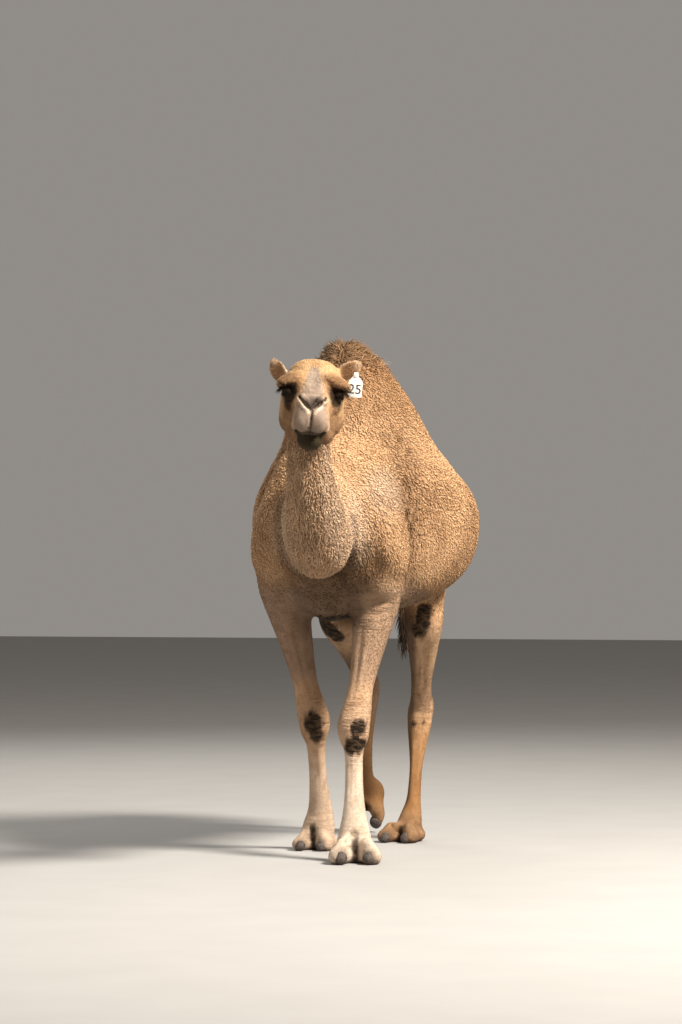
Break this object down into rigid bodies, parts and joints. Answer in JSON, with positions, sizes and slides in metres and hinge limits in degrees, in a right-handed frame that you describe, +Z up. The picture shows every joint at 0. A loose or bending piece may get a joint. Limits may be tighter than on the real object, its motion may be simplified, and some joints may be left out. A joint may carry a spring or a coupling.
{
  "type": "camel",
  "caption": "Life-size still model of a one-humped camel in a woolly golden coat, caught in mid-stride as it walks forward with its head raised.",
  "frame": {"origin": "middle of the whole animal's bounding box, on the floor under its feet", "axes": "-Y the way the animal faces, +X its left side, +Z up"},
  "size_m": [0.912, 2.5216, 2.0447],
  "materials": {
    "coat": "matt curly wool",
    "foot_fur": "short flat fur",
    "nail": "dull horn",
    "eye": "wet gloss",
    "tag": "satin"
  },
  "bodies": {
    "root": {"trunk": "coat", "hump": "coat", "neck": "coat", "head": "coat", "tail": "coat", "ear_left": "coat", "ear_right": "coat", "leg_front_left_upper": "coat", "leg_front_left_lower": "coat", "leg_front_right_upper": "coat", "leg_front_right_lower": "coat", "leg_hind_left_upper": "coat", "leg_hind_left_lower": "coat", "leg_hind_right_upper": "coat", "leg_hind_right_lower": "coat", "foot_front_left": "foot_fur", "foot_front_right": "foot_fur", "foot_hind_left": "foot_fur", "foot_hind_right": "foot_fur", "nail_front_left_outer": "nail", "nail_front_left_inner": "nail", "nail_front_right_outer": "nail", "nail_front_right_inner": "nail", "nail_hind_left_outer": "nail", "nail_hind_left_inner": "nail", "nail_hind_right_outer": "nail", "nail_hind_right_inner": "nail", "eye_left": "eye", "eye_right": "eye", "ear_tag": "tag", "ear_tag_stud": "tag"}
  },
  "joints": []
}
